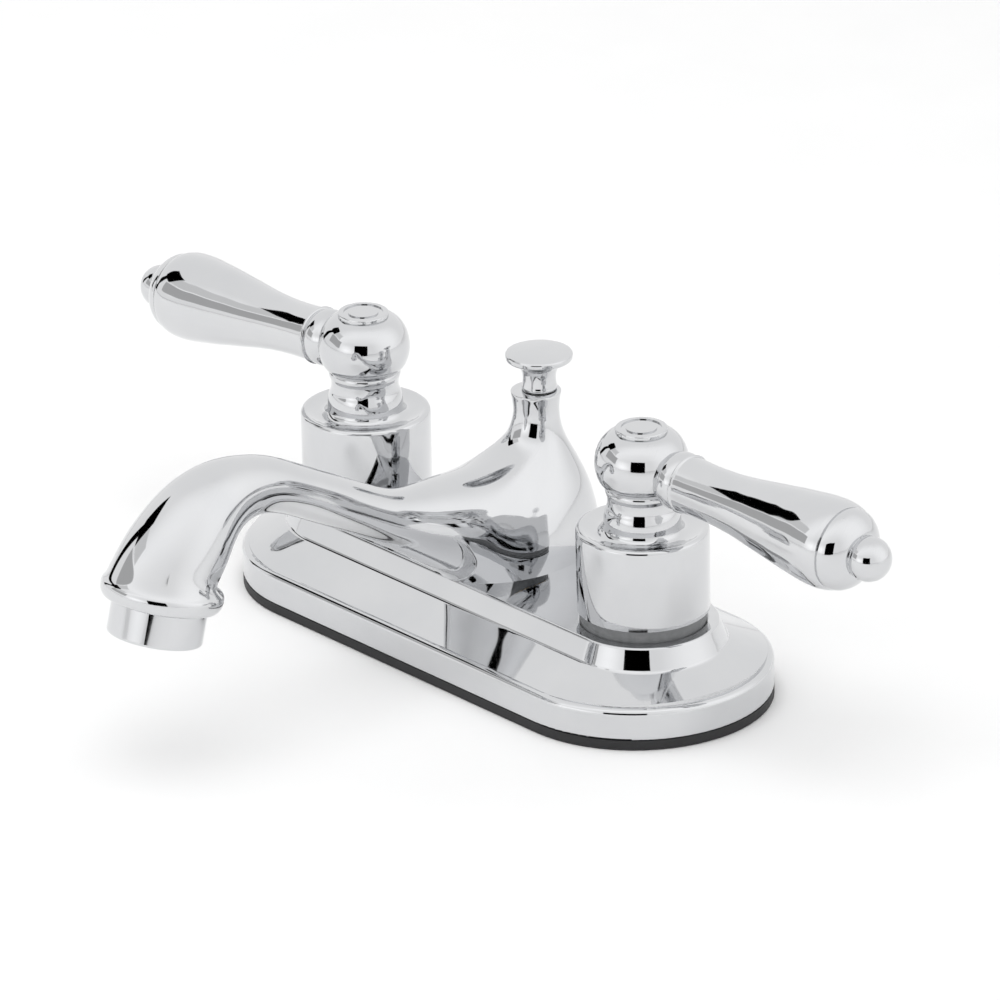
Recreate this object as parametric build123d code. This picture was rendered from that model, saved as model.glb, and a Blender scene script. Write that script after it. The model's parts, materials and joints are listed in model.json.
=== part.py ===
from build123d import *
from math import cos, radians, sin
import os

# Two-handle centre-set basin faucet, in millimetres. +Z is up, the deck is the plane z = 0,
# X runs through both handle axes and -Y is the front, where the spout reaches.

# Overall layout
HANDLE_SPACING = 101.6       # 4 in standard centres
DECK_THICKNESS = 20.0        # basin deck between the gasket and the lock washers
CLEARANCE = 0.3              # gap round parts that turn or slide past each other
RUNNING = 0.06               # radial clearance of a shaft in its bore

# Deck plate and its gasket
GASKET_THICK = 2.4
PLATE_LENGTH = 163.2
PLATE_WIDTH = 66.8
PLATE_TOP = 20.7             # height of the flat top above the deck
PLATE_WALL = 2.4
RIM_TOP = 10.4               # height at which the upright rim ends
RIM_ROUNDING = 1.6
RIM_LIP = 0.5                # rounding of the lower edge, above the gasket
CROWN_FLAT = 18.3            # half width of the flat top
STEP_AT = 20.5               # half width at the foot of the steep step
STEP_HEIGHT = 15.2
CROWN_FOOT = 31.6            # half width where the long slope meets the rim
SHOULDER_RADIUS = 0.7
STEP_FILLET = 1.2
COUNTERBORE_DEPTH = 1.0
RING_GAP = 0.35              # dark line round each seat ring

# Valve body, under the plate and through the deck
SHANK_RADIUS = 11.0          # stretch that the lock nut runs on
INLET_THREAD = 10.45         # G 1/2 thread for the supply hose
INLET_LENGTH = 17.0
SHANK_BORE = 6.5
SHANK_DROP = 50.0            # length below the deck
TOWER_RADIUS = 12.5
TOWER_TOP = 27.0
TUBE_RADIUS = 5.8
TUBE_BORE = 4.0
TUBE_HEIGHT = 12.0
HUB_RADIUS = 10.5
VALVE_SEAT = 9.0             # height of the face that the seat seal lies on
SEAL_THICK = 2.2
SEAL_RADIUS = 6.4
SEAL_HOLE = 3.0

# Cartridge, a brass case with two ceramic discs under a turning stem
CASE_RADIUS = 9.5
CASE_WATERWAY = 8.6          # slimmer lower stretch that lets the water past
CASE_THREAD = 6.5            # length of the threaded stretch
CASE_HEX = 22.0              # across flats
CASE_HEX_HEIGHT = 6.0
CASE_NECK = 7.0
DISC_THICK = 3.0
DISC_RADIUS = 6.1
DISC_GAP = 0.02
PORT_RADIUS = 1.7
PORT_OFFSET = 3.4
STEM_RADIUS = 4.6
SPLINE_RADIUS = 4.0
SPLINE_SQUARES = 5           # five squares turned by 18 degrees make the 20 points
SPLINE_LENGTH = 11.0
SCREW_RADIUS = 1.95
SCREW_HOLE = 2.7
SCREW_HEAD = 4.2
SCREW_HEAD_THICK = 3.0
SCREW_GRIP = 7.0             # thread inside the stem

# Handles, each a turned hub on the stem with a lever screwed into its ball
SEAT_RING_TOP = 23.6
SEAT_RING_RADIUS = 15.5
SKIRT_RADIUS = 16.24
SKIRT_TOP = 44.9
SKIRT_EDGE = 1.2
SKIRT_WALL = 2.0
SKIRT_ROOF = 3.0
SOCKET_RADIUS = 7.8
SOCKET_DROP = 2.0
DISH_RADIUS = 14.6           # the top of the skirt is slightly dished
DISH_DEPTH = 1.1
FOOT_RING_RADIUS = 9.9       # step at the foot of the bell
FOOT_RING_HEIGHT = 1.5
BELL_RADIUS = 9.4
BELL_AT = 47.6
NECK_RADIUS = 8.55
NECK_AT = 52.6
BALL_START = 57.0            # height at which the neck's flare runs into the ball
BALL_RADIUS = 11.45
BALL_CENTRE = 62.1
BALL_CROWN = 9.5             # upright half axis of the flattened upper half
BALL_TOP = 69.6
SCREW_FLOOR = 58.5           # seat of the screw head inside the ball
CAP_RADIUS = 6.34
CAP_THICK = 1.15
CAP_PLUG = 4.95
CAP_PLUG_DROP = 3.0
CAP_RELIEF = 0.3

# Levers, turned about their own axis: distances run out from the handle axis
LEVER_HEIGHT = 60.8
LEVER_DROOP = 2.43
LEVER_TURN_HOT = 3.9         # both levers sit a few degrees round on their splines
LEVER_TURN_COLD = 4.2
SPIGOT_RADIUS = 3.0
SPIGOT_START = 6.6
LEVER_START = 7.5
COLLAR_START = 10.3
COLLAR_END = 15.0
COLLAR_RADIUS = 7.2
ROOT_RADIUS = 7.3
WAIST_AT = 23.0
WAIST_RADIUS = 6.8
MIDDLE_AT = 42.0
MIDDLE_RADIUS = 8.85
BELLY_AT = 60.4
BELLY_RADIUS = 11.15
SEAM_AT = 65.0
SEAM_RADIUS = 10.4
SEAM_DEPTH = 0.4
DOME_AT = 69.2               # where the end cap turns in towards its small ball
DOME_RADIUS = 8.1
TIP_NECK_AT = 71.2
TIP_NECK_RADIUS = 4.3
TIP_BALL_AT = 72.9
TIP_BALL_RADIUS = 5.5
TIP_SPIGOT = 5.0

# Spout: a bottle-shaped body with a tube that rises over a hump to the outlet
NECK_Y = 11.6
COLLAR_TOP = 61.7
SPOUT_COLLAR_RADIUS = 6.3
SPOUT_NECK_RADIUS = 5.75
COLLAR_HEIGHT = 2.2
BODY_HALF_WIDTH = 16.9       # widest level of the bottle
BODY_FRONT = -19.6
BODY_REAR = 27.1
BODY_SINK = 9.7              # how far the body runs on below the top of the plate
INLET_Y = -3.0
INLET_RADIUS = 6.6
INLET_DEPTH = 13.0
ORING_SECTION = 1.0
ROOT_BLEND = 9.0
TUBE_ROOT = 14.4             # radius of the tube inside the body
TUBE_WAIST = 6.3             # radius of its slimmest stretch
TUBE_MOUTH = 12.9            # radius at the outlet
HUMP_TOP = 64.05             # highest point of its middle line
OUTLET_Y = -108.1
OUTLET_Z = 44.6
OUTLET_TILT = 15.0
OUTLET_RING_RADIUS = 14.9
OUTLET_RING_THICK = 5.0
OUTLET_THREAD = 11.0
OUTLET_THREAD_DEPTH = 6.0
WATERWAY_RADIUS = 4.2

# Aerator in the outlet
AERATOR_RADIUS = 11.6
AERATOR_LENGTH = 8.6         # visible length below the outlet ring
AERATOR_BORE = 9.4
AERATOR_LIP = 8.4
AERATOR_LIP_THICK = 1.3
STRAIGHTENER_FLOOR = 2.0
STRAIGHTENER_HOLE = 0.95
STRAIGHTENER_PITCH = 1.5
WASHER_THICK = 2.0
WASHER_HOLE = 8.2

# Pop-up lift rod behind the spout
ROD_Y = 12.8
ROD_RADIUS = 2.4
ROD_DROP = 75.0              # length below the deck
ROD_HOLE = 3.6
KNOB_TOP = 71.6
KNOB_RADIUS = 8.16
KNOB_RIM = 1.6
KNOB_CROWN = 0.2             # rise of the knob's nearly flat top
KNOB_STEM = 3.95
KNOB_FLARE = 4.6             # height of the knob's straight foot
KNOB_UNDERCUT = 0.5
KNOB_FOOT_GAP = 0.2

# Lock washers and nuts under the deck
LOCK_WASHER_RADIUS = 19.0
LOCK_WASHER_THICK = 2.0
LOCK_NUT_HEX = 32.0
LOCK_NUT_HEIGHT = 9.0

half_spacing = HANDLE_SPACING / 2
cartridge_foot = VALVE_SEAT + SEAL_THICK
disc_joint = cartridge_foot + DISC_THICK
driver_top = disc_joint + DISC_GAP + 2 * DISC_THICK
skirt_foot = SEAT_RING_TOP + CLEARANCE
skirt_bore = SKIRT_RADIUS - SKIRT_WALL
socket_foot = SKIRT_TOP - SKIRT_ROOF - SOCKET_DROP
case_top = socket_foot - CLEARANCE
spline_top = socket_foot + SPLINE_LENGTH
counterbore_floor = PLATE_TOP - COUNTERBORE_DEPTH


def turned(*curves):
    """Solid of revolution about Z from edges that join up in the XZ plane."""
    return revolve(Plane.XZ * make_face(Curve() + list(curves)), Axis.Z)


def tube(outer, inner, low, high):
    """Plain ring from one height to another."""
    return Pos(0, 0, low) * extrude(Circle(outer) - Circle(inner), high - low)


def rod(radius, low, high):
    """Plain round bar from one height to another."""
    return Pos(0, 0, low) * extrude(Circle(radius), high - low)


def stadium(grow, low, high):
    """Outline of the deck plate, grown or shrunk all round."""
    outline = SlotOverall(PLATE_LENGTH + 2 * grow, PLATE_WIDTH + 2 * grow)
    return Pos(0, 0, low) * extrude(outline, high - low)


def mitred(before, corner, after, inset):
    """Corner of an outline moved inwards, so that both of its sides move by the inset."""
    first = Vector(*corner) - Vector(*before)
    second = Vector(*after) - Vector(*corner)
    inward = Vector(first.Y, -first.X).normalized() + Vector(second.Y, -second.X).normalized()
    moved = Vector(*corner) + inward * (2 * inset / inward.length ** 2)
    return moved.X, moved.Y


def crown(inset, foot):
    """Raised middle of the plate: a straight ridge with a round boss about each handle axis."""
    middle = (0, PLATE_TOP)
    edge = (CROWN_FLAT, PLATE_TOP)
    step = (STEP_AT, STEP_HEIGHT)
    rim = (CROWN_FOOT, RIM_TOP)
    top = mitred(middle, edge, step, inset)
    corner = mitred(edge, step, rim, inset)
    end = mitred(step, rim, (PLATE_WIDTH, RIM_TOP), inset)
    half = make_face(Polyline((0, foot), (0, top[1]), top, corner, end, (end[0], foot), (0, foot)))
    half = fillet(half.vertices().filter_by(lambda point: abs(point.Y - top[1]) < RUNNING and point.X > 0),
                  SHOULDER_RADIUS)
    half = fillet(half.vertices().filter_by(lambda point: abs(point.Y - corner[1]) < RUNNING), STEP_FILLET)
    boss = revolve(Plane.XZ * half, Axis.Z)
    side = extrude(Plane.YZ * half, half_spacing, both=True)
    ridge = side + mirror(side, Plane.XZ)
    return ridge + Pos(half_spacing, 0, 0) * boss + Pos(-half_spacing, 0, 0) * boss


def plate_form():
    """Outer form of the plate, filled."""
    rim = stadium(0, GASKET_THICK, RIM_TOP)
    rim = fillet(rim.faces().sort_by(Axis.Z)[-1].edges(), RIM_ROUNDING)
    rim = fillet(rim.faces().sort_by(Axis.Z)[0].edges(), RIM_LIP)
    return rim + (crown(0, GASKET_THICK) & stadium(-RIM_ROUNDING, GASKET_THICK, PLATE_TOP))


def deck_plate(form):
    hollow = stadium(-PLATE_WALL, 0, RIM_TOP - PLATE_WALL)
    hollow += crown(PLATE_WALL, 0) & stadium(-PLATE_WALL, 0, PLATE_TOP)
    plate = form - hollow
    for x in (-half_spacing, half_spacing):
        plate -= Pos(x, 0, 0) * rod(TOWER_RADIUS + CLEARANCE, 0, PLATE_TOP)
        plate -= Pos(x, 0, 0) * rod(SEAT_RING_RADIUS + RING_GAP, counterbore_floor, PLATE_TOP)
    plate -= Pos(0, INLET_Y, 0) * rod(INLET_RADIUS + CLEARANCE, 0, PLATE_TOP)
    return plate - Pos(0, ROD_Y, 0) * rod(ROD_HOLE, 0, PLATE_TOP)


def deck_gasket():
    gasket = stadium(0, 0, GASKET_THICK)
    for x in (-half_spacing, half_spacing):
        gasket -= Pos(x, 0, 0) * rod(SHANK_RADIUS + CLEARANCE, 0, GASKET_THICK)
    return gasket - Pos(0, ROD_Y, 0) * rod(ROD_HOLE, 0, GASKET_THICK)


def valve_body():
    """Brass casting: two towers on threaded shanks, a cross tube and the spout's hub."""
    thread_top = INLET_LENGTH - SHANK_DROP
    end = rod(TOWER_RADIUS, GASKET_THICK, TOWER_TOP) + rod(SHANK_RADIUS, thread_top, GASKET_THICK)
    end += rod(INLET_THREAD, -SHANK_DROP, thread_top)
    hub_top = PLATE_TOP - PLATE_WALL
    body = Pos(0, INLET_Y, 0) * rod(HUB_RADIUS, GASKET_THICK, hub_top)
    cross = extrude(Plane.YZ * Pos(0, TUBE_HEIGHT) * Circle(TUBE_RADIUS), half_spacing, both=True)
    body += cross
    bore = rod(CASE_RADIUS, cartridge_foot, TOWER_TOP) + rod(SEAL_RADIUS, VALVE_SEAT, cartridge_foot)
    bore += rod(SEAL_HOLE, 0, VALVE_SEAT) + rod(SHANK_BORE, -SHANK_DROP, GASKET_THICK)
    for x in (-half_spacing, half_spacing):
        body += Pos(x, 0, 0) * end
    way = extrude(Plane.YZ * Pos(0, TUBE_HEIGHT) * Circle(TUBE_BORE), half_spacing, both=True)
    body -= way - Pos(half_spacing, 0, 0) * rod(CASE_RADIUS, 0, cartridge_foot) \
        - Pos(-half_spacing, 0, 0) * rod(CASE_RADIUS, 0, cartridge_foot)
    for x in (-half_spacing, half_spacing):
        body -= Pos(x, 0, 0) * bore
    return body - Pos(0, INLET_Y, 0) * rod(INLET_RADIUS, PLATE_TOP - INLET_DEPTH, hub_top)


def seat_seal():
    """Rubber ring under the lower ceramic disc."""
    return tube(SEAL_RADIUS, SEAL_HOLE, VALVE_SEAT, cartridge_foot)


def ported_disc(low):
    """Ceramic disc with a water port on each side of its middle."""
    ports = Pos(PORT_OFFSET, 0) * Circle(PORT_RADIUS) + Pos(-PORT_OFFSET, 0) * Circle(PORT_RADIUS)
    return Pos(0, 0, low) * extrude(Circle(DISC_RADIUS) - ports, DISC_THICK)


def cartridge():
    thread_low = TOWER_TOP - CASE_THREAD
    case = rod(CASE_WATERWAY, cartridge_foot, thread_low) + rod(CASE_RADIUS, thread_low, TOWER_TOP)
    hexagon = RegularPolygon(CASE_HEX / 2, 6, major_radius=False)
    case += Pos(0, 0, TOWER_TOP) * extrude(hexagon, CASE_HEX_HEIGHT)
    case += rod(CASE_NECK, TOWER_TOP, case_top)
    case -= rod(STEM_RADIUS + RUNNING, cartridge_foot, case_top)
    case -= rod(DISC_RADIUS + RUNNING, cartridge_foot, driver_top + CLEARANCE)
    window = extrude(Plane.YZ * Pos(0, driver_top - DISC_THICK / 2) * Circle(PORT_RADIUS), CASE_RADIUS)
    return case - window - mirror(window, Plane.YZ)


def spline_outline(radius):
    """Twenty-point outline from squares turned about one centre."""
    side = radius * 2 ** 0.5
    turn = 90 / SPLINE_SQUARES
    outline = Rectangle(side, side)
    for step in range(1, SPLINE_SQUARES):
        outline += Rot(0, 0, step * turn) * Rectangle(side, side)
    return outline


def stem():
    """Turning stem: the driver over the upper disc, the shaft and the splined head."""
    shaft = rod(DISC_RADIUS, disc_joint + DISC_GAP + DISC_THICK, driver_top)
    shaft += rod(STEM_RADIUS, driver_top, socket_foot)
    shaft += Pos(0, 0, socket_foot) * extrude(spline_outline(SPLINE_RADIUS), SPLINE_LENGTH)
    return shaft - rod(SCREW_RADIUS, spline_top - SCREW_GRIP, spline_top)


def handle_screw():
    """Pan-head screw that holds the hub down on the stem."""
    screw = rod(SCREW_RADIUS, spline_top - SCREW_GRIP, SCREW_FLOOR)
    head_top = SCREW_FLOOR + SCREW_HEAD_THICK
    head = rod(SCREW_HEAD, SCREW_FLOOR, head_top)
    screw += fillet(head.faces().sort_by(Axis.Z)[-1].edges(), SCREW_HEAD_THICK / 3)
    slot = Rectangle(SCREW_HEAD, SCREW_RADIUS / 2) + Rectangle(SCREW_RADIUS / 2, SCREW_HEAD)
    return screw - Pos(0, 0, head_top - SCREW_HEAD_THICK / 2) * extrude(slot, SCREW_HEAD_THICK)


def seat_ring():
    """Grey plastic nut that clamps the plate down round each tower."""
    return tube(SEAT_RING_RADIUS, TOWER_RADIUS, counterbore_floor, SEAT_RING_TOP)


def ball_form():
    """Ball of the hub: round below its middle and flattened above it."""
    lower = Pos(0, 0, BALL_CENTRE) * Sphere(BALL_RADIUS) & rod(BALL_RADIUS, BALL_START, BALL_CENTRE)
    ellipse = Plane.XZ * Pos(0, BALL_CENTRE) * Ellipse(BALL_RADIUS, BALL_CROWN)
    quarter = ellipse & Plane.XZ * Pos(BALL_RADIUS / 2, (BALL_CENTRE + BALL_TOP) / 2) * Rectangle(
        BALL_RADIUS, BALL_TOP - BALL_CENTRE)
    return lower + revolve(quarter, Axis.Z)


def lever_place(turn):
    """Frame of a lever that points along +X: its Z axis is the lever's axis."""
    droop = radians(LEVER_DROOP)
    along = Vector(cos(droop), 0, -sin(droop)).rotate(Axis.Z, turn)
    return Plane(origin=(0, 0, LEVER_HEIGHT), z_dir=along).location


def neck_form():
    """Foot ring, bell and neck between the dished skirt and the ball."""
    foot = SKIRT_TOP - DISH_DEPTH
    ring_top = foot + FOOT_RING_HEIGHT
    drop = BALL_CENTRE - BALL_START
    ball_edge = (BALL_RADIUS ** 2 - drop ** 2) ** 0.5
    bell_foot = (FOOT_RING_RADIUS + BELL_RADIUS) / 2 - FOOT_RING_HEIGHT / 2
    return turned(
        Polyline((0, foot), (FOOT_RING_RADIUS, foot), (FOOT_RING_RADIUS, ring_top), (bell_foot, ring_top)),
        Spline((bell_foot, ring_top), (BELL_RADIUS, BELL_AT), (NECK_RADIUS, NECK_AT), (ball_edge, BALL_START),
               tangents=((1, 1), (drop, ball_edge))),
        Polyline((ball_edge, BALL_START), (0, BALL_START), (0, foot)))


def handle_hub(place):
    """Skirt, bell, neck and ball in one turned casting, bored for the stem and its screw."""
    roof = SKIRT_TOP - SKIRT_ROOF
    skirt = rod(SKIRT_RADIUS, skirt_foot, SKIRT_TOP)
    skirt = fillet(skirt.faces().sort_by(Axis.Z)[-1].edges(), SKIRT_EDGE)
    skirt -= turned(Polyline((0, SKIRT_TOP), (DISH_RADIUS, SKIRT_TOP), (FOOT_RING_RADIUS, SKIRT_TOP - DISH_DEPTH),
                             (0, SKIRT_TOP - DISH_DEPTH), (0, SKIRT_TOP)))
    hub = skirt + neck_form() + ball_form()
    hub -= tube(skirt_bore, SOCKET_RADIUS, skirt_foot, roof)
    hub -= rod(SOCKET_RADIUS, skirt_foot, socket_foot)
    hub -= Pos(0, 0, socket_foot) * extrude(spline_outline(SPLINE_RADIUS), SPLINE_LENGTH)
    hub -= rod(SCREW_HOLE, spline_top, SCREW_FLOOR)
    hub -= rod(CAP_PLUG, SCREW_FLOOR, BALL_TOP)
    return hub - place * rod(SPIGOT_RADIUS, SPIGOT_START, BALL_RADIUS)


def lever(place):
    """Turned lever with its collar and the spigot that screws into the ball."""
    groove = COLLAR_RADIUS - SEAM_DEPTH
    collar_middle = (COLLAR_START + COLLAR_END) / 2
    collar_edge = COLLAR_END + SEAM_DEPTH
    bar = turned(
        Spline((ROOT_RADIUS, collar_edge), (WAIST_RADIUS, WAIST_AT), (MIDDLE_RADIUS, MIDDLE_AT),
               (BELLY_RADIUS, BELLY_AT), (SEAM_RADIUS, SEAM_AT), tangents=((0, 1), (-1, 3))),
        Polyline((SEAM_RADIUS, SEAM_AT), (0, SEAM_AT), (0, LEVER_START), (groove, LEVER_START),
                 (groove, COLLAR_START)),
        ThreePointArc((groove, COLLAR_START), (COLLAR_RADIUS, collar_middle), (groove, COLLAR_END)),
        Polyline((groove, COLLAR_END), (groove, collar_edge), (ROOT_RADIUS, collar_edge)))
    bar -= rod(SPIGOT_RADIUS, SEAM_AT - TIP_SPIGOT, SEAM_AT)
    bar = place * bar - ball_form() - neck_form()
    return bar + place * rod(SPIGOT_RADIUS, SPIGOT_START, COLLAR_END)


def lever_tip(place):
    """Domed end cap with its small ball, screwed into the lever."""
    lip = SEAM_RADIUS - SEAM_DEPTH
    tip = turned(
        Polyline((TIP_NECK_RADIUS, TIP_NECK_AT), (0, TIP_NECK_AT), (0, SEAM_AT), (lip, SEAM_AT),
                 (lip, SEAM_AT + SEAM_DEPTH)),
        Spline((lip, SEAM_AT + SEAM_DEPTH), (DOME_RADIUS, DOME_AT), (TIP_NECK_RADIUS, TIP_NECK_AT),
               tangents=((-1, 3), (-1, 0.2))))
    tip += Pos(0, 0, TIP_BALL_AT) * Sphere(TIP_BALL_RADIUS)
    tip += rod(SPIGOT_RADIUS, SEAM_AT - TIP_SPIGOT, SEAM_AT)
    return place * tip


def index_cap():
    """Button that closes the screw hole, with a shallow ring sunk in its top."""
    cap = rod(CAP_RADIUS, BALL_TOP, BALL_TOP + CAP_THICK)
    cap = fillet(cap.faces().sort_by(Axis.Z)[-1].edges(), CAP_THICK / 3)
    top = BALL_TOP + CAP_THICK
    cap -= tube(CAP_PLUG, CAP_PLUG - CAP_THICK, top - CAP_RELIEF, top)
    return cap + rod(CAP_PLUG, BALL_TOP - CAP_PLUG_DROP, BALL_TOP)


def share(start, end, part):
    """Value that lies a given part of the way from start to end."""
    return start + (end - start) * part


def body_section(climb, width, front, rear):
    """Level oval through the spout's body, from its place between the plate (0) and the neck (1)."""
    neck = SPOUT_NECK_RADIUS
    near = share(NECK_Y - neck, BODY_FRONT, front)
    far = share(NECK_Y + neck, BODY_REAR, rear)
    height = share(PLATE_TOP, COLLAR_TOP, climb)
    return Pos(0, (near + far) / 2, height) * Ellipse(share(neck, BODY_HALF_WIDTH, width), (far - near) / 2)


def spout_body():
    """Bottle-shaped body that narrows to the neck and leans forward at its foot."""
    collar_foot = COLLAR_TOP - COLLAR_HEIGHT
    sunk = -BODY_SINK / (COLLAR_TOP - PLATE_TOP)
    last = (collar_foot - PLATE_TOP) / (COLLAR_TOP - PLATE_TOP)
    sections = [
        body_section(sunk, 0.70, 0.84, 0.58),
        body_section(0.0, 0.93, 0.94, 0.85),
        body_section(0.14, 1.0, 1.0, 1.0),
        body_section(0.275, 0.92, 0.94, 0.93),
        body_section(0.41, 0.76, 0.72, 0.745),
        body_section(0.535, 0.49, 0.43, 0.51),
        body_section(0.666, 0.20, 0.165, 0.22),
        body_section(0.763, 0.055, 0.045, 0.06),
        body_section(0.885, 0.0, 0.0, 0.0),
        body_section(last, 0.01, 0.005, 0.01),
    ]
    collar = Pos(0, NECK_Y, collar_foot) * extrude(Circle(SPOUT_COLLAR_RADIUS), COLLAR_HEIGHT)
    collar = fillet(collar.edges().filter_by(GeomType.CIRCLE), 0.4 * COLLAR_HEIGHT)
    return loft(sections) + collar


def line_point(reach, climb, drop=0.0):
    """Point on the tube's middle line: parts of its reach, of its climb to the hump and of its drop after it."""
    height = share(PLATE_TOP, HUMP_TOP, climb) - drop * (HUMP_TOP - OUTLET_Z)
    return 0, reach * OUTLET_Y, height


def tube_section(point, radius, heading):
    """Round section of the spout's tube: heading is the rise of its middle line in degrees."""
    turn = radians(heading)
    plane = Plane(origin=point, x_dir=(1, 0, 0), z_dir=(0, -cos(turn), sin(turn)))
    return plane * Circle(radius)


def spout_tube():
    """Tube from inside the body over the hump and down to the outlet ring."""
    sections = [
        tube_section(line_point(-0.037, 0.225), TUBE_ROOT, 14),
        tube_section(line_point(0.092, 0.290), share(TUBE_WAIST, TUBE_ROOT, 0.90), 17),
        tube_section(line_point(0.192, 0.362), share(TUBE_WAIST, TUBE_ROOT, 0.60), 20),
        tube_section(line_point(0.286, 0.445), share(TUBE_WAIST, TUBE_ROOT, 0.25), 24),
        tube_section(line_point(0.361, 0.526), share(TUBE_WAIST, TUBE_ROOT, 0.05), 28),
        tube_section(line_point(0.449, 0.646), TUBE_WAIST, 32),
        tube_section(line_point(0.539, 0.770), TUBE_WAIST, 32),
        tube_section(line_point(0.613, 0.873), TUBE_WAIST, 28),
        tube_section(line_point(0.687, 0.959), share(TUBE_WAIST, TUBE_MOUTH, 0.08), 20),
        tube_section(line_point(0.758, 1.0), share(TUBE_WAIST, TUBE_MOUTH, 0.21), 6),
        tube_section(line_point(0.826, 1.0, 0.010), share(TUBE_WAIST, TUBE_MOUTH, 0.43), -12),
        tube_section(line_point(0.883, 1.0, 0.145), share(TUBE_WAIST, TUBE_MOUTH, 0.69), -32),
        tube_section(line_point(0.930, 1.0, 0.363), share(TUBE_WAIST, TUBE_MOUTH, 0.90), -50),
        tube_section(line_point(0.967, 1.0, 0.642), TUBE_MOUTH, -65),
        tube_section(line_point(1.0, 1.0, 1.0), TUBE_MOUTH, OUTLET_TILT - 90),
    ]
    return loft(sections)


def outlet_place():
    """Frame of the outlet: its Z axis is the way the water leaves."""
    tilt = radians(OUTLET_TILT)
    plane = Plane(origin=(0, OUTLET_Y, OUTLET_Z), x_dir=(1, 0, 0), z_dir=(0, -sin(tilt), -cos(tilt)))
    return plane.location


def waterway():
    """Passage from the inlet in the foot, up through the tube and down to the outlet."""
    bore = WATERWAY_RADIUS
    path = FilletPolyline(
        (0, INLET_Y, PLATE_TOP - INLET_DEPTH),
        (0, INLET_Y, share(PLATE_TOP, HUMP_TOP, 0.3)),
        line_point(0.277, 0.46),
        line_point(0.535, 0.78),
        line_point(0.683, 0.975),
        line_point(0.812, 1.0),
        line_point(0.923, 1.0, 0.33),
        line_point(0.987, 1.0, 0.80),
        radius=[1.7 * bore, 2.9 * bore, 4.8 * bore, 3.3 * bore, 2.4 * bore, 2.4 * bore])
    start = Plane(origin=path @ 0, z_dir=path % 0)
    return sweep(start * Circle(bore), path)


def outlet_ring():
    """Full-round bead at the end of the tube."""
    half_ring = OUTLET_RING_THICK / 2
    edge = OUTLET_RING_RADIUS - half_ring
    return turned(
        Polyline((edge, half_ring), (0, half_ring), (0, -half_ring), (edge, -half_ring)),
        ThreePointArc((edge, -half_ring), (OUTLET_RING_RADIUS, 0), (edge, half_ring)))


def spout(form):
    shell = spout_body() + spout_tube()
    root = shell.edges().filter_by(lambda edge: abs((edge @ 0.5).Y) < PLATE_WIDTH / 2
                                   and PLATE_TOP < (edge @ 0.5).Z < (PLATE_TOP + COLLAR_TOP) / 2)
    shell = fillet(root.sort_by(SortBy.LENGTH)[-1], ROOT_BLEND)
    place = outlet_place()
    shell += place * outlet_ring()
    shell -= form
    foot = PLATE_TOP - INLET_DEPTH
    shank = rod(INLET_RADIUS, foot, PLATE_TOP)
    groove = foot + 2 * ORING_SECTION
    shank -= tube(INLET_RADIUS, INLET_RADIUS - 1.6 * ORING_SECTION, groove, groove + 2 * ORING_SECTION)
    shell += Pos(0, INLET_Y, 0) * shank
    shell -= waterway()
    shell -= place * rod(OUTLET_THREAD, -OUTLET_THREAD_DEPTH, OUTLET_RING_THICK)
    return shell - Pos(0, ROD_Y, 0) * rod(ROD_HOLE, 0, COLLAR_TOP)


def spout_oring():
    """Rubber ring that seals the spout's inlet in the hub."""
    groove = PLATE_TOP - INLET_DEPTH + 2 * ORING_SECTION
    ring = tube(INLET_RADIUS, INLET_RADIUS - 1.6 * ORING_SECTION, groove, groove + 2 * ORING_SECTION)
    return Pos(0, INLET_Y, 0) * ring


def aerator_housing():
    low = OUTLET_RING_THICK / 2
    end = low + AERATOR_LENGTH
    shell = rod(AERATOR_RADIUS, low, end) + rod(OUTLET_THREAD, WASHER_THICK - OUTLET_THREAD_DEPTH, low)
    shell = fillet(shell.faces().sort_by(Axis.Z)[-1].edges(), AERATOR_LIP_THICK / 2)
    shell -= rod(AERATOR_BORE, -OUTLET_THREAD_DEPTH, end - AERATOR_LIP_THICK)
    return outlet_place() * (shell - rod(AERATOR_LIP, 0, end))


def aerator_insert():
    """Flow straightener: a cup with a grid of round holes in its floor."""
    end = OUTLET_RING_THICK / 2 + AERATOR_LENGTH - AERATOR_LIP_THICK
    start = WASHER_THICK - OUTLET_THREAD_DEPTH
    cup = rod(AERATOR_BORE, start, end) - rod(AERATOR_LIP, start, end - STRAIGHTENER_FLOOR)
    grid = HexLocations(STRAIGHTENER_PITCH, 5, 5)
    holes = Sketch() + [place * Circle(STRAIGHTENER_HOLE) for place in grid]
    return outlet_place() * (cup - Pos(0, 0, end - STRAIGHTENER_FLOOR) * extrude(holes, STRAIGHTENER_FLOOR))


def aerator_washer():
    low = -OUTLET_THREAD_DEPTH
    return outlet_place() * tube(OUTLET_THREAD, WASHER_HOLE, low, low + WASHER_THICK)


def lift_knob():
    """Flat-topped knob on a trumpet-shaped stem."""
    foot = COLLAR_TOP + KNOB_FOOT_GAP
    rim_low = KNOB_TOP - KNOB_RIM
    low_edge = (KNOB_RADIUS - KNOB_UNDERCUT, rim_low)
    top_edge = (KNOB_RADIUS - KNOB_RIM / 2, KNOB_TOP - KNOB_CROWN)
    knob = turned(
        Polyline((0, foot), (KNOB_STEM, foot)),
        Spline((KNOB_STEM, foot), (0.95 * KNOB_STEM, foot + KNOB_FLARE / 2), low_edge, tangents=((0, 1), (1, 0.35))),
        ThreePointArc(low_edge, (KNOB_RADIUS, KNOB_TOP - KNOB_RIM / 2), top_edge),
        Polyline(top_edge, (0, KNOB_TOP), (0, foot)))
    return Pos(0, ROD_Y, 0) * (knob - rod(ROD_RADIUS, foot, rim_low - ROD_RADIUS))


def lift_rod():
    return Pos(0, ROD_Y, 0) * rod(ROD_RADIUS, -ROD_DROP, KNOB_TOP - KNOB_RIM - ROD_RADIUS)


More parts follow.
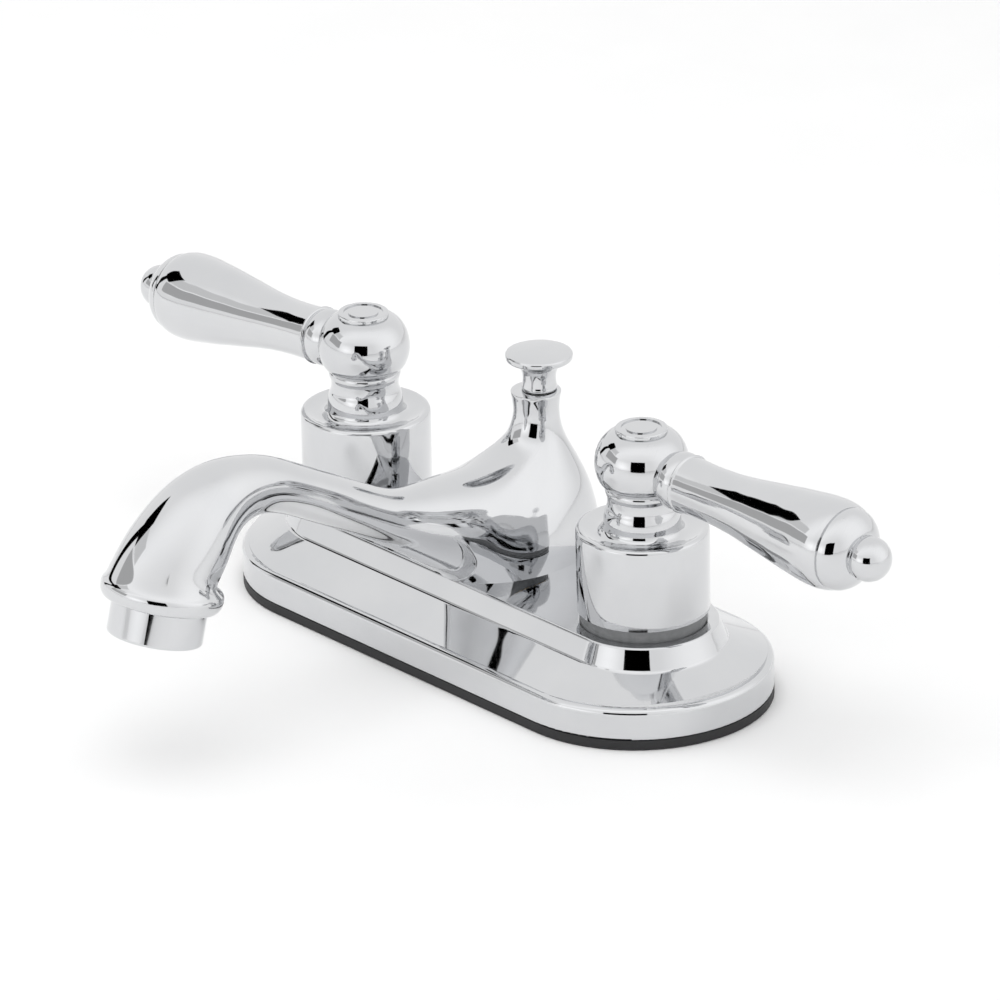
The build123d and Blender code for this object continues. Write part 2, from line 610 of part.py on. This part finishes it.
def lock_washer():
    return tube(LOCK_WASHER_RADIUS, SHANK_RADIUS, -DECK_THICKNESS - LOCK_WASHER_THICK, -DECK_THICKNESS)


def lock_nut():
    top = -DECK_THICKNESS - LOCK_WASHER_THICK
    hexagon = RegularPolygon(LOCK_NUT_HEX / 2, 6, major_radius=False) - Circle(SHANK_RADIUS)
    return Pos(0, 0, top - LOCK_NUT_HEIGHT) * extrude(hexagon, LOCK_NUT_HEIGHT)


def side_parts(turn):
    """Every piece that stands on one handle's axis, with its lever pointing along +X."""
    place = lever_place(turn)
    return {
        "seat_seal": seat_seal(),
        "lower_disc": ported_disc(cartridge_foot),
        "upper_disc": ported_disc(disc_joint + DISC_GAP),
        "cartridge": cartridge(),
        "stem": stem(),
        "seat_ring": seat_ring(),
        "handle_hub": handle_hub(place),
        "handle_screw": handle_screw(),
        "index_cap": index_cap(),
        "lever": lever(place),
        "lever_tip": lever_tip(place),
        "lock_washer": lock_washer(),
        "lock_nut": lock_nut(),
    }


os.makedirs("parts", exist_ok=True)
filled_plate = plate_form()
parts = {
    "deck_plate": deck_plate(filled_plate),
    "deck_gasket": deck_gasket(),
    "valve_body": valve_body(),
    "spout": spout(filled_plate),
    "spout_oring": spout_oring(),
    "aerator_housing": aerator_housing(),
    "aerator_insert": aerator_insert(),
    "aerator_washer": aerator_washer(),
    "lift_knob": lift_knob(),
    "lift_rod": lift_rod(),
}
for name, shape in side_parts(LEVER_TURN_COLD).items():
    parts[name + "_cold"] = Pos(half_spacing, 0, 0) * shape
for name, shape in side_parts(LEVER_TURN_HOT).items():
    parts[name + "_hot"] = Pos(-half_spacing, 0, 0) * Rot(0, 0, 180) * shape
for name, shape in parts.items():
    export_step(shape, "parts/" + name + ".step")
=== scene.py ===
import bmesh
import bpy
import json
import math
from mathutils import Matrix, Vector


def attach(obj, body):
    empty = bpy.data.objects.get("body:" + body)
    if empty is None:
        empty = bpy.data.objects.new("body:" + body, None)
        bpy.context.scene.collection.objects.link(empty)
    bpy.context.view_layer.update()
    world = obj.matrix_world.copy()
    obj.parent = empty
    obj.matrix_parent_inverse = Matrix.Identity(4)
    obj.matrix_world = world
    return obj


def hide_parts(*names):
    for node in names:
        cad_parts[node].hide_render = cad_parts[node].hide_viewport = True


# Two-handle bathroom faucet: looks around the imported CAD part, in metres.
# The tables below are in millimetres, as a maker would write them down.

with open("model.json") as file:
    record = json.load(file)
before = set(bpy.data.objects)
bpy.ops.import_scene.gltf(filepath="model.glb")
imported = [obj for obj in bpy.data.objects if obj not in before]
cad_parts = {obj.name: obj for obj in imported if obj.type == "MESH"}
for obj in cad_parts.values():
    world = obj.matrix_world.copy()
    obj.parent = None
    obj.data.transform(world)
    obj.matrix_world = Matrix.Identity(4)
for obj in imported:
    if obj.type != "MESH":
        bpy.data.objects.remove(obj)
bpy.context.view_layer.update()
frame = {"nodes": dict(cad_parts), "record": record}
nodes = frame["nodes"]
mm = 0.001
sides = ("hot", "cold")
noiseSpan = (0.3, 0.7)  # the part of a noise's values that a finish spreads over its range
print("frame loaded:", len(nodes), "nodes")


def newFinish(name):
    finish = bpy.data.materials.new(name)
    finish.use_nodes = True
    tree = finish.node_tree
    shader = tree.nodes["Principled BSDF"]
    where = tree.nodes.new("ShaderNodeTexCoord")
    return finish, tree, shader, where


def addNoise(tree, where, scale, detail=2.0, stretch=None):
    noise = tree.nodes.new("ShaderNodeTexNoise")
    noise.inputs["Scale"].default_value = scale
    noise.inputs["Detail"].default_value = detail
    if stretch:
        mapping = tree.nodes.new("ShaderNodeMapping")
        mapping.inputs["Scale"].default_value = stretch
        tree.links.new(where.outputs["Object"], mapping.inputs["Vector"])
        tree.links.new(mapping.outputs["Vector"], noise.inputs["Vector"])
    else:
        tree.links.new(where.outputs["Object"], noise.inputs["Vector"])
    return noise


def addRange(tree, source, low, high):
    spread = tree.nodes.new("ShaderNodeMapRange")
    spread.inputs["From Min"].default_value = noiseSpan[0]
    spread.inputs["From Max"].default_value = noiseSpan[1]
    spread.inputs["To Min"].default_value = low
    spread.inputs["To Max"].default_value = high
    tree.links.new(source, spread.inputs["Value"])
    return spread.outputs["Result"]


def addTint(tree, source, dark, light):
    ramp = tree.nodes.new("ShaderNodeValToRGB")
    for element, position, tone in zip(ramp.color_ramp.elements, noiseSpan, (dark, light)):
        element.position = position
        element.color = (*tone, 1)
    tree.links.new(source, ramp.inputs["Fac"])
    return ramp.outputs["Color"]


def addBump(tree, shader, source, strength, distance):
    bump = tree.nodes.new("ShaderNodeBump")
    bump.inputs["Strength"].default_value = strength
    bump.inputs["Distance"].default_value = distance
    tree.links.new(source, bump.inputs["Height"])
    tree.links.new(bump.outputs["Normal"], shader.inputs["Normal"])


finishes = {
    # dark tone, light tone, metal, roughness from and to, pattern per metre and its stretch,
    # bump strength, bump depth in metres
    "chrome": ((0.63, 0.637, 0.65), (0.665, 0.67, 0.68), 1.0, 0.035, 0.06, 60, None, 0.05, 0.0001),
    "gasketRubber": ((0.008, 0.008, 0.009), (0.02, 0.02, 0.022), 0.0, 0.5, 0.68, 900, None, 0.35, 0.0001),
    "sealRubber": ((0.03, 0.03, 0.03), (0.055, 0.055, 0.055), 0.0, 0.55, 0.7, 700, None, 0.2, 0.0001),
    "brass": ((0.62, 0.44, 0.2), (0.74, 0.56, 0.28), 1.0, 0.24, 0.42, 260, (1, 1, 6), 0.12, 0.0001),
    "ceramic": ((0.84, 0.84, 0.81), (0.9, 0.9, 0.88), 0.0, 0.12, 0.2, 300, None, 0.04, 0.0001),
    "greyPlastic": ((0.17, 0.175, 0.18), (0.215, 0.22, 0.225), 0.0, 0.36, 0.5, 600, None, 0.15, 0.0001),
    "insertPlastic": ((0.66, 0.67, 0.68), (0.74, 0.75, 0.76), 0.0, 0.3, 0.42, 500, None, 0.1, 0.0001),
    "steel": ((0.5, 0.51, 0.53), (0.6, 0.61, 0.63), 1.0, 0.26, 0.4, 240, (1, 1, 8), 0.12, 0.0001),
}


def makeFinish(name):
    dark, light, metal, roughLow, roughHigh, scale, stretch, strength, depth = finishes[name]
    finish, tree, shader, where = newFinish(name)
    noise = addNoise(tree, where, scale, detail=3.0, stretch=stretch)
    tree.links.new(addTint(tree, noise.outputs["Fac"], dark, light), shader.inputs["Base Color"])
    tree.links.new(addRange(tree, noise.outputs["Fac"], roughLow, roughHigh), shader.inputs["Roughness"])
    shader.inputs["Metallic"].default_value = metal
    addBump(tree, shader, noise.outputs["Fac"], strength, depth)
    return finish


made = {name: makeFinish(name) for name in finishes}

recordSlots = {
    "chrome": "chrome",
    "gasketRubber": "gasket_rubber",
    "sealRubber": "seal_rubber",
    "brass": "brass",
    "ceramic": "ceramic",
    "greyPlastic": "grey_plastic",
    "insertPlastic": "insert_plastic",
    "steel": "steel",
}
slotFinish = {slot: made[name] for name, slot in recordSlots.items()}

for part in frame["record"]["subparts"]:
    node = nodes[part["node"]]
    node.data.materials.clear()
    node.data.materials.append(slotFinish[part["material_slot"]])
print("finishes made:", len(made))


# how every turned piece is spun and its sharp edges are rounded
turning = {
    "steps": 96,
    "curveSteps": 8,
    "weld": 0.002,
    "sharpAngle": 28,
    "edgeRounding": 0.12,
    "edgeSegments": 2,
}


def profilePoints(stations):
    # a smooth curve through the stations; a station with "corner" keeps a sharp turn
    curve = bpy.data.curves.new("profile", "CURVE")
    curve.dimensions = "3D"
    curve.resolution_u = turning["curveSteps"]
    line = curve.splines.new("BEZIER")
    line.bezier_points.add(len(stations) - 1)
    for point, station in zip(line.bezier_points, stations):
        radius, along = station[:2]
        point.co = (radius * mm, 0, along * mm)
        kind = "VECTOR" if "corner" in station else "AUTO"
        point.handle_left_type = kind
        point.handle_right_type = kind
    holder = bpy.data.objects.new("profile", curve)
    bpy.context.scene.collection.objects.link(holder)
    bpy.context.view_layer.update()
    shape = holder.to_mesh()
    points = [vertex.co.copy() for vertex in shape.vertices]
    holder.to_mesh_clear()
    bpy.data.objects.remove(holder)
    bpy.data.curves.remove(curve)
    return points


def lathe(name, stations, place):
    bm = bmesh.new()
    points = profilePoints(stations)
    verts = [bm.verts.new(point) for point in points]
    edges = [bm.edges.new(pair) for pair in zip(verts, verts[1:])]
    bmesh.ops.spin(bm, geom=verts + edges, cent=(0, 0, 0), axis=(0, 0, 1), angle=math.tau,
                   steps=turning["steps"], use_merge=True)
    bmesh.ops.remove_doubles(bm, verts=bm.verts, dist=turning["weld"] * mm)
    openEdges = [edge for edge in bm.edges if edge.is_boundary]
    if openEdges:
        bmesh.ops.holes_fill(bm, edges=openEdges, sides=0)
    bmesh.ops.recalc_face_normals(bm, faces=bm.faces)
    sharpest = math.radians(turning["sharpAngle"])
    sharp = [edge for edge in bm.edges if edge.is_manifold and edge.calc_face_angle() > sharpest]
    bmesh.ops.bevel(bm, geom=sharp, offset=turning["edgeRounding"] * mm, segments=turning["edgeSegments"],
                    profile=0.5, affect="EDGES", material=-1, clamp_overlap=True)
    bmesh.ops.transform(bm, matrix=place, verts=bm.verts)
    return finishPiece(name, bm)


def finishPiece(name, bm):
    mesh = bpy.data.meshes.new(name)
    bm.to_mesh(mesh)
    bm.free()
    mesh.shade_smooth()
    piece = bpy.data.objects.new(name, mesh)
    bpy.context.scene.collection.objects.link(piece)
    return piece


def dress(piece, finish, body, *replaced):
    piece.data.materials.append(made[finish])
    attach(piece, body)
    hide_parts(*replaced)


def standAt(x, y):
    return Matrix.Translation((x * mm, y * mm, 0))


# distance between the two handle axes, height of the levers, their droop and bearing in degrees
handle = {
    "spacing": 101.6,
    "leverHeight": 60.8,
    "droop": 2.43,
    "turn": {"hot": 183.9, "cold": 4.2},
}


def hubPlace(side):
    half = handle["spacing"] / 2
    return standAt(half if side == "cold" else -half, 0)


def leverPlace(side):
    droop = math.radians(handle["droop"])
    turn = math.radians(handle["turn"][side])
    along = Vector((math.cos(droop) * math.cos(turn), math.cos(droop) * math.sin(turn), -math.sin(droop)))
    lift = Matrix.Translation((0, 0, handle["leverHeight"] * mm))
    return hubPlace(side) @ lift @ along.to_track_quat("Z", "Y").to_matrix().to_4x4()


# radius, height: skirt, its dished top, cove, bell, bead and flattened ball
hub = {
    "stations": [
        (12.6, 41.9, "corner"), (14.24, 41.9, "corner"), (14.24, 23.9, "corner"), (16.24, 23.9, "corner"),
        (16.24, 43.6, "corner"), (16.16, 44.2), (15.9, 44.65), (15.45, 44.88), (14.95, 44.85), (14.0, 44.5),
        (12.6, 44.08), (11.4, 43.95), (10.5, 44.15), (9.85, 44.7), (9.52, 45.5), (9.44, 46.4), (9.38, 47.4),
        (9.22, 48.5), (8.96, 49.5), (8.62, 50.4), (8.46, 51.2), (8.44, 52.2), (8.55, 53.1), (8.75, 53.75),
        (8.92, 54.25), (8.97, 54.7), (8.88, 55.1), (8.76, 55.35, "corner"), (9.3, 55.95), (10.2, 56.95),
        (10.98, 58.7), (11.36, 60.3), (11.45, 61.6), (11.3, 63.3), (10.86, 65.05), (10.07, 66.75),
        (9.0, 68.15), (7.75, 69.15), (6.9, 69.55, "corner"), (5.2, 69.6, "corner"), (5.2, 67.0, "corner"),
        (0.2, 67.0, "corner"),
    ],
}

# radius, distance along the lever from the handle axis
lever = {
    "stations": [
        (0.2, 9.5, "corner"), (6.3, 9.5, "corner"), (6.6, 10.3, "corner"), (7.0, 11.3), (7.2, 12.6),
        (7.1, 13.8), (6.75, 14.8, "corner"), (7.15, 14.95), (7.38, 15.3), (7.15, 15.65),
        (6.95, 15.8, "corner"), (6.9, 17.0), (6.8, 23.0), (7.25, 31.0), (8.85, 42.0), (10.35, 52.0),
        (11.15, 60.4), (10.85, 63.6), (10.4, 65.0, "corner"), (0.2, 65.0, "corner"),
    ],
    "tip": [
        (0.2, 65.0, "corner"), (10.0, 65.0, "corner"), (10.0, 65.35, "corner"), (10.2, 65.45, "corner"),
        (9.95, 66.6), (9.3, 67.9), (8.15, 69.25), (6.6, 70.4), (5.6, 70.85), (5.12, 70.95, "corner"),
        (5.4, 71.8), (5.5, 72.9), (5.36, 74.15), (4.86, 75.5), (4.0, 76.7), (2.8, 77.65), (1.4, 78.25),
        (0.2, 78.4, "corner"),
    ],
}

# radius, height above the deck, round the lift rod
knob = {
    "place": (0, 12.8),
    "stations": [
        (2.4, 61.95, "corner"), (4.3, 61.95, "corner"), (4.36, 62.3), (4.22, 63.2), (4.12, 64.4),
        (4.22, 65.8), (4.6, 67.0), (5.25, 68.1), (6.3, 68.95), (7.75, 69.5, "corner"), (8.15, 69.75),
        (8.3, 70.3), (8.28, 70.9), (8.05, 71.25, "corner"), (6.5, 71.4), (3.5, 71.55), (0.2, 71.6, "corner"),
    ],
}

for side in sides:
    body = side + "_handle"
    dress(lathe("handleHub_" + side, hub["stations"], hubPlace(side)), "chrome", body, "handle_hub_" + side)
    dress(lathe("leverBar_" + side, lever["stations"], leverPlace(side)), "chrome", body, "lever_" + side)
    dress(lathe("leverTip_" + side, lever["tip"], leverPlace(side)), "chrome", body, "lever_tip_" + side)
dress(lathe("knobTop", knob["stations"], standAt(*knob["place"])), "chrome", "lift", "lift_knob")
print("hubs, levers and knob turned")


# the spout is one smooth skin over rings: bottle, tube and outlet, with the rod's bore through the bottle
spout = {
    "levels": 3,
    "bottleSteps": 24,
    "tubeSteps": 26,
    # height, half width, middle and half length of the bottle's rings, from its foot up
    "bottle": [
        (11.0, 13.72, 3.75, 19.47), (16.8, 15.41, 3.91, 21.08), (20.7, 16.27, 3.71, 22.15),
        (26.4, 17.51, 3.75, 24.14), (32.0, 16.24, 3.8, 23.0), (37.7, 14.63, 5.95, 18.91),
        (42.4, 11.42, 8.7, 13.95), (48.4, 7.68, 10.86, 8.43), (52.0, 6.31, 11.32, 6.48),
        (55.8, 5.69, 11.68, 5.72), (58.0, 5.78, 11.6, 5.8), (60.0, 6.05, 11.6, 6.05),
        (61.2, 6.36, 11.6, 6.36), (61.65, 6.3, 11.6, 6.3), (61.7, 5.9, 11.7, 5.9),
        (61.7, 4.0, 12.6, 4.0), (61.5, 3.64, 12.8, 3.64), (59.0, 3.64, 12.8, 3.64),
        (14.0, 3.64, 12.8, 3.64), (11.0, 3.64, 12.8, 3.64),
    ],
    # the bottle's rings and steps that the tube grows out of
    "openingRings": (2, 7),
    "openingSteps": (8, 16),
    # y and height of the middle, upright and sideways radius and heading in degrees of the tube's rings
    "tube": [
        (-14.2, 34.95, 14.14, 12.9, 36), (-20.8, 36.23, 11.67, 11.66, 20), (-31.5, 40.19, 8.18, 8.17, 25),
        (-38.5, 43.03, 6.63, 6.62, 28), (-48.4, 48.7, 6.3, 6.3, 33), (-58.8, 54.35, 6.43, 6.43, 31),
        (-66.1, 58.48, 6.23, 6.23, 28), (-74.5, 62.74, 6.93, 6.89, 21), (-81.9, 64.36, 7.76, 7.65, 6),
        (-89.5, 64.13, 9.41, 9.22, -11), (-95.8, 61.2, 11.0, 10.8, -32), (-100.3, 57.0, 12.0, 11.95, -46),
        (-104.3, 52.95, 12.55, 12.6, -53), (-106.9, 49.95, 12.7, 12.75, -64),
    ],
    # y, height and heading in degrees of the outlet's middle
    "outlet": (-108.1, 44.6, -75),
    # distance down the outlet from its middle, radius: flare, rounded lip and bore
    "lip": [
        (-2.3, 14.1), (-1.75, 14.75), (-0.8, 15.05), (0.3, 15.0), (1.4, 14.75), (2.3, 14.1), (2.5, 13.3),
        (2.5, 12.2), (2.4, 11.85), (1.4, 11.8), (-9.0, 11.8),
    ],
}


def addRing(bm, place, steps, across, up):
    size = Matrix.Diagonal((across * mm, up * mm, 1, 1))
    circle = bmesh.ops.create_circle(bm, cap_ends=False, segments=steps, radius=1, matrix=place @ size)
    bm.edges.ensure_lookup_table()
    return circle["verts"], bm.edges[-steps:]


def tubePlace(y, height, heading):
    # the ring's own Y points up and its Z along the tube
    rise = math.radians(heading)
    turn = Matrix(((1, 0, 0), (0, math.sin(rise), -math.cos(rise)), (0, math.cos(rise), math.sin(rise))))
    return Matrix.Translation((0, y * mm, height * mm)) @ turn.to_4x4()


def spoutSkin():
    bm = bmesh.new()
    bottle = []
    for height, halfWidth, middle, halfLength in spout["bottle"]:
        place = Matrix.Translation((0, middle * mm, height * mm))
        bottle.append(addRing(bm, place, spout["bottleSteps"], halfWidth, halfLength))
    line = [addRing(bm, tubePlace(y, height, heading), spout["tubeSteps"], across, up)
            for y, height, up, across, heading in spout["tube"]]
    outlet = tubePlace(*spout["outlet"])
    for down, radius in spout["lip"]:
        place = outlet @ Matrix.Translation((0, 0, down * mm))
        line.append(addRing(bm, place, spout["tubeSteps"], radius, radius))
    for run in (bottle + bottle[:1], line):
        for (_, low), (_, high) in zip(run, run[1:]):
            bmesh.ops.bridge_loops(bm, edges=low + high)
    firstRing, lastRing = spout["openingRings"]
    firstStep, lastStep = spout["openingSteps"]
    facing = bottle[firstRing:lastRing + 1]
    opening = {vert for verts, _ in facing for vert in verts[firstStep:lastStep + 1]}
    covered = [face for face in bm.faces if all(vert in opening for vert in face.verts)]
    rim = [edge for edge in bm.edges if sum(face in covered for face in edge.link_faces) == 1]
    bmesh.ops.delete(bm, geom=covered, context="FACES")
    bmesh.ops.bridge_loops(bm, edges=rim + line[0][1])
    bmesh.ops.holes_fill(bm, edges=line[-1][1], sides=0)
    bmesh.ops.recalc_face_normals(bm, faces=bm.faces)
    skin = finishPiece("spoutSkin", bm)
    # the smoothing is applied, so that the piece's own box is the smooth skin's
    smooth = skin.modifiers.new("smooth", "SUBSURF")
    smooth.levels = spout["levels"]
    smooth.render_levels = spout["levels"]
    smoothed = skin.evaluated_get(bpy.context.evaluated_depsgraph_get())
    skin.data = bpy.data.meshes.new_from_object(smoothed)
    skin.modifiers.clear()
    return skin


dress(spoutSkin(), "chrome", "faucet", "spout")

# radius, height: the spout's inlet below its foot, with a groove for the rubber ring
inlet = {
    "place": (0, -3),
    "stations": [
        (4.2, 7.7, "corner"), (6.6, 7.7, "corner"), (6.6, 9.7, "corner"), (5.0, 9.7, "corner"),
        (5.0, 11.7, "corner"), (6.6, 11.7, "corner"), (6.6, 20.7, "corner"), (4.2, 20.7, "corner"),
        (4.2, 7.7, "corner"),
    ],
}
dress(lathe("spoutInlet", inlet["stations"], standAt(*inlet["place"])), "chrome", "faucet")
print("spout skinned")


# place and reach in metres, angles in degrees, lens and sensor in millimetres
view = {
    "place": (1.40888, -1.24333, 0.85474),
    "azimuth": 48.589,
    "height": 23.552,
    "roll": -1.065,
    "lens": 300.84,
    "sensor": 36,
    "reach": 20,
}


def addCamera():
    azimuth, height, roll = (math.radians(view[key]) for key in ("azimuth", "height", "roll"))
    level = math.cos(height)
    back = Vector((math.sin(azimuth) * level, -math.cos(azimuth) * level, math.sin(height)))
    right = Vector((math.cos(azimuth), math.sin(azimuth), 0))
    up = back.cross(right)
    rolledRight = math.cos(roll) * right + math.sin(roll) * up
    rolledUp = math.cos(roll) * up - math.sin(roll) * right
    turn = Matrix((rolledRight, rolledUp, back)).transposed()
    data = bpy.data.cameras.new("productCamera")
    data.lens = view["lens"]
    data.sensor_width = view["sensor"]
    data.clip_end = view["reach"]
    camera = bpy.data.objects.new("productCamera", data)
    camera.matrix_world = Matrix.Translation(view["place"]) @ turn.to_4x4()
    bpy.context.scene.collection.objects.link(camera)
    bpy.context.scene.camera = camera


addCamera()

studio = {
    "floorSize": 12.0,
    "floorHeight": -0.0002,
    "floorTones": (0.97, 0.985),
    "floorPattern": 30,
    "floorRoughness": 0.8,
    "worldSeen": 1.0,
    "worldDiffuse": 0.75,
    "cardAim": 0.05,
    "lampAim": 0.03,
    # bearing from the camera's own, height above the horizon, width and height of the card in degrees,
    # distance, tone, the share of its half size that the edge takes to fade, and its lean in degrees
    "cards": {
        "frontOpening": (-9, 9.5, 34, 32, 1.1, 0.0, 0.03, 0),
        "leftFlag": (-112, 35.5, 19, 17, 1.1, 0.0, 0.04, 0),
        "leftBar": (-122, 12, 8, 62, 1.1, 0.0, 0.1, 22),
        "leftGrey": (-85, 17.5, 37, 18, 1.2, 0.52, 0.06, 0),
        "leftPale": (-93, 35, 32, 14, 1.2, 0.78, 0.1, 0),
        "frontGlow": (-48, 8, 60, 36, 1.25, 1.45, 1.0, 0),
        "topGlow": (0, 62, 170, 80, 1.3, 1.22, 1.0, 0),
        "rightGlow": (72, 25, 100, 110, 1.3, 1.25, 1.0, 0),
    },
    # place, size in metres and power of each lamp
    "lamps": {
        "topSoftbox": ((0.1, -0.2, 1.2), 1.0, 5.0),
        "leftSoftbox": ((-1.0, -0.7, 0.7), 0.7, 2.5),
    },
}


def rayMix(tree, seen, unseen):
    # camera, glossy and transmission rays take the first shader, all others the second
    rays = tree.nodes.new("ShaderNodeLightPath")
    direct = tree.nodes.new("ShaderNodeMath")
    direct.operation = "MAXIMUM"
    tree.links.new(rays.outputs["Is Camera Ray"], direct.inputs[0])
    tree.links.new(rays.outputs["Is Glossy Ray"], direct.inputs[1])
    either = tree.nodes.new("ShaderNodeMath")
    either.operation = "MAXIMUM"
    tree.links.new(direct.outputs[0], either.inputs[0])
    tree.links.new(rays.outputs["Is Transmission Ray"], either.inputs[1])
    mix = tree.nodes.new("ShaderNodeMixShader")
    tree.links.new(either.outputs[0], mix.inputs["Fac"])
    tree.links.new(unseen, mix.inputs[1])
    tree.links.new(seen, mix.inputs[2])
    return mix.outputs["Shader"]


def addWorld():
    world = bpy.data.worlds.new("whiteStudio")
    bpy.context.scene.world = world
    world.use_nodes = True
    tree = world.node_tree
    seen = tree.nodes["Background"]
    seen.inputs["Color"].default_value = (1, 1, 1, 1)
    seen.inputs["Strength"].default_value = studio["worldSeen"]
    unseen = tree.nodes.new("ShaderNodeBackground")
    unseen.inputs["Color"].default_value = (1, 1, 1, 1)
    unseen.inputs["Strength"].default_value = studio["worldDiffuse"]
    mixed = rayMix(tree, seen.outputs["Background"], unseen.outputs["Background"])
    tree.links.new(mixed, tree.nodes["World Output"].inputs["Surface"])


def addFloor():
    bm = bmesh.new()
    bmesh.ops.create_grid(bm, x_segments=1, y_segments=1, size=studio["floorSize"] / 2)
    bmesh.ops.translate(bm, vec=(0, 0, studio["floorHeight"]), verts=bm.verts)
    floor = finishPiece("studioFloor", bm)
    paint, tree, shader, where = newFinish("floorPaint")
    noise = addNoise(tree, where, studio["floorPattern"])
    dark, light = ((tone, tone, tone) for tone in studio["floorTones"])
    tree.links.new(addTint(tree, noise.outputs["Fac"], dark, light), shader.inputs["Base Color"])
    shader.inputs["Roughness"].default_value = studio["floorRoughness"]
    floor.data.materials.append(paint)


def fadeMask(tree, soft):
    # 1 over the middle of a card and 0 at its edges, by the card's own UV
    where = tree.nodes.new("ShaderNodeTexCoord")
    parts = tree.nodes.new("ShaderNodeSeparateXYZ")
    tree.links.new(where.outputs["UV"], parts.inputs["Vector"])
    product = tree.nodes.new("ShaderNodeMath")
    product.operation = "MULTIPLY"
    for index, axis in enumerate("XY"):
        centred = tree.nodes.new("ShaderNodeMath")
        centred.operation = "SUBTRACT"
        centred.inputs[1].default_value = 0.5
        tree.links.new(parts.outputs[axis], centred.inputs[0])
        outward = tree.nodes.new("ShaderNodeMath")
        outward.operation = "ABSOLUTE"
        tree.links.new(centred.outputs[0], outward.inputs[0])
        fade = tree.nodes.new("ShaderNodeMapRange")
        fade.interpolation_type = "SMOOTHSTEP"
        fade.inputs["From Min"].default_value = 0.5
        fade.inputs["From Max"].default_value = 0.5 - soft / 2
        tree.links.new(outward.outputs[0], fade.inputs["Value"])
        tree.links.new(fade.outputs["Result"], product.inputs[index])
    return product.outputs[0]


def addCard(name):
    bearing, height, wide, high, distance, tone, soft, lean = studio["cards"][name]
    bm = bmesh.new()
    bm.loops.layers.uv.new("UVMap")
    bmesh.ops.create_grid(bm, x_segments=1, y_segments=1, size=0.5, calc_uvs=True)
    width, length = (2 * distance * math.tan(math.radians(angle / 2)) for angle in (wide, high))
    bmesh.ops.scale(bm, vec=(width, length, 1), verts=bm.verts)
    azimuth = math.radians(view["azimuth"] - 90 + bearing)
    rise = math.radians(height)
    level = math.cos(rise)
    away = Vector((math.cos(azimuth) * level, math.sin(azimuth) * level, math.sin(rise)))
    turn = away.to_track_quat("-Z", "Y").to_matrix().to_4x4() @ Matrix.Rotation(math.radians(lean), 4, "Z")
    centre = Vector((0, 0, studio["cardAim"])) + away * distance
    bmesh.ops.transform(bm, matrix=Matrix.Translation(centre) @ turn, verts=bm.verts)
    card = finishPiece(name, bm)
    paint = bpy.data.materials.new(name + "Tone")
    paint.use_nodes = True
    tree = paint.node_tree
    tree.nodes.remove(tree.nodes["Principled BSDF"])
    glow = tree.nodes.new("ShaderNodeEmission")
    glow.inputs["Color"].default_value = (1, 1, 1, 1)
    glow.inputs["Strength"].default_value = tone
    clear = tree.nodes.new("ShaderNodeBsdfTransparent")
    mix = tree.nodes.new("ShaderNodeMixShader")
    tree.links.new(fadeMask(tree, soft), mix.inputs["Fac"])
    tree.links.new(clear.outputs["BSDF"], mix.inputs[1])
    tree.links.new(glow.outputs["Emission"], mix.inputs[2])
    tree.links.new(mix.outputs["Shader"], tree.nodes["Material Output"].inputs["Surface"])
    card.data.materials.append(paint)
    card.visible_camera = False
    card.visible_diffuse = False
    card.visible_shadow = False
    card.visible_transmission = False


def addLamp(name):
    place, size, power = studio["lamps"][name]
    data = bpy.data.lights.new(name, "AREA")
    data.size = size
    data.energy = power
    lamp = bpy.data.objects.new(name, data)
    lamp.location = place
    aim = Vector((0, 0, studio["lampAim"])) - Vector(place)
    lamp.rotation_euler = aim.to_track_quat("-Z", "Y").to_euler()
    lamp.visible_glossy = False
    bpy.context.scene.collection.objects.link(lamp)


addWorld()
addFloor()
for name in studio["cards"]:
    addCard(name)
for name in studio["lamps"]:
    addLamp(name)
bpy.context.scene.view_settings.view_transform = "Standard"
print("camera and studio ready")
